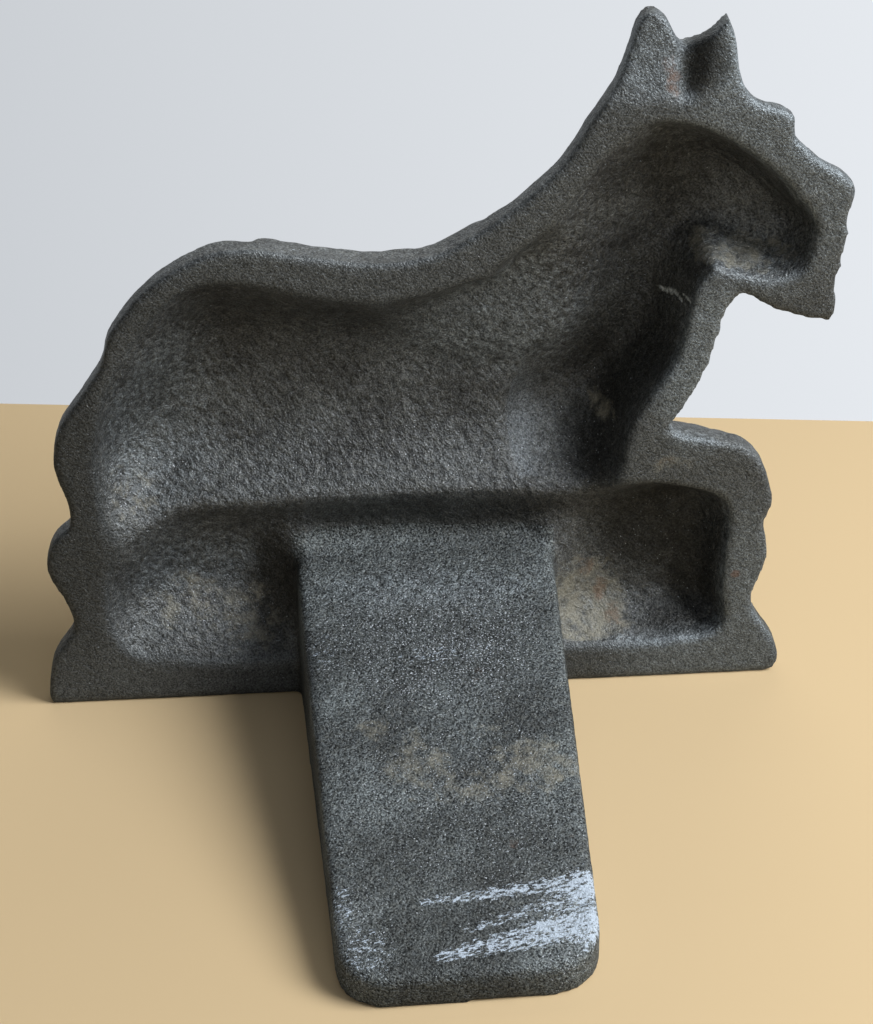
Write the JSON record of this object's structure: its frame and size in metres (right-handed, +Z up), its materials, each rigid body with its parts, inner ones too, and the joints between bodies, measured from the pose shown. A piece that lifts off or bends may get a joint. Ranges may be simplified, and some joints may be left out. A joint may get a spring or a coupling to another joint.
{
  "type": "doorstop",
  "caption": "Heavy flat-backed terrier figure on a cushion and plinth, hollow behind, with a sloping wedge tongue that slides under a door and holds it open.",
  "frame": {"origin": "centre of the bounding box at floor level, under the wedge tongue", "axes": "+X towards the dog's tail, -Y out of the decorated front, +Y along the tongue towards the door, +Z up"},
  "size_m": [0.1412, 0.1087, 0.1288],
  "materials": {
    "dog_iron": "sand cast, old black paint worn thin",
    "tongue_iron": "sand cast, bare and scuffed"
  },
  "bodies": {
    "root": {"dog_shell": "dog_iron", "wedge_tongue": "tongue_iron"}
  },
  "joints": []
}
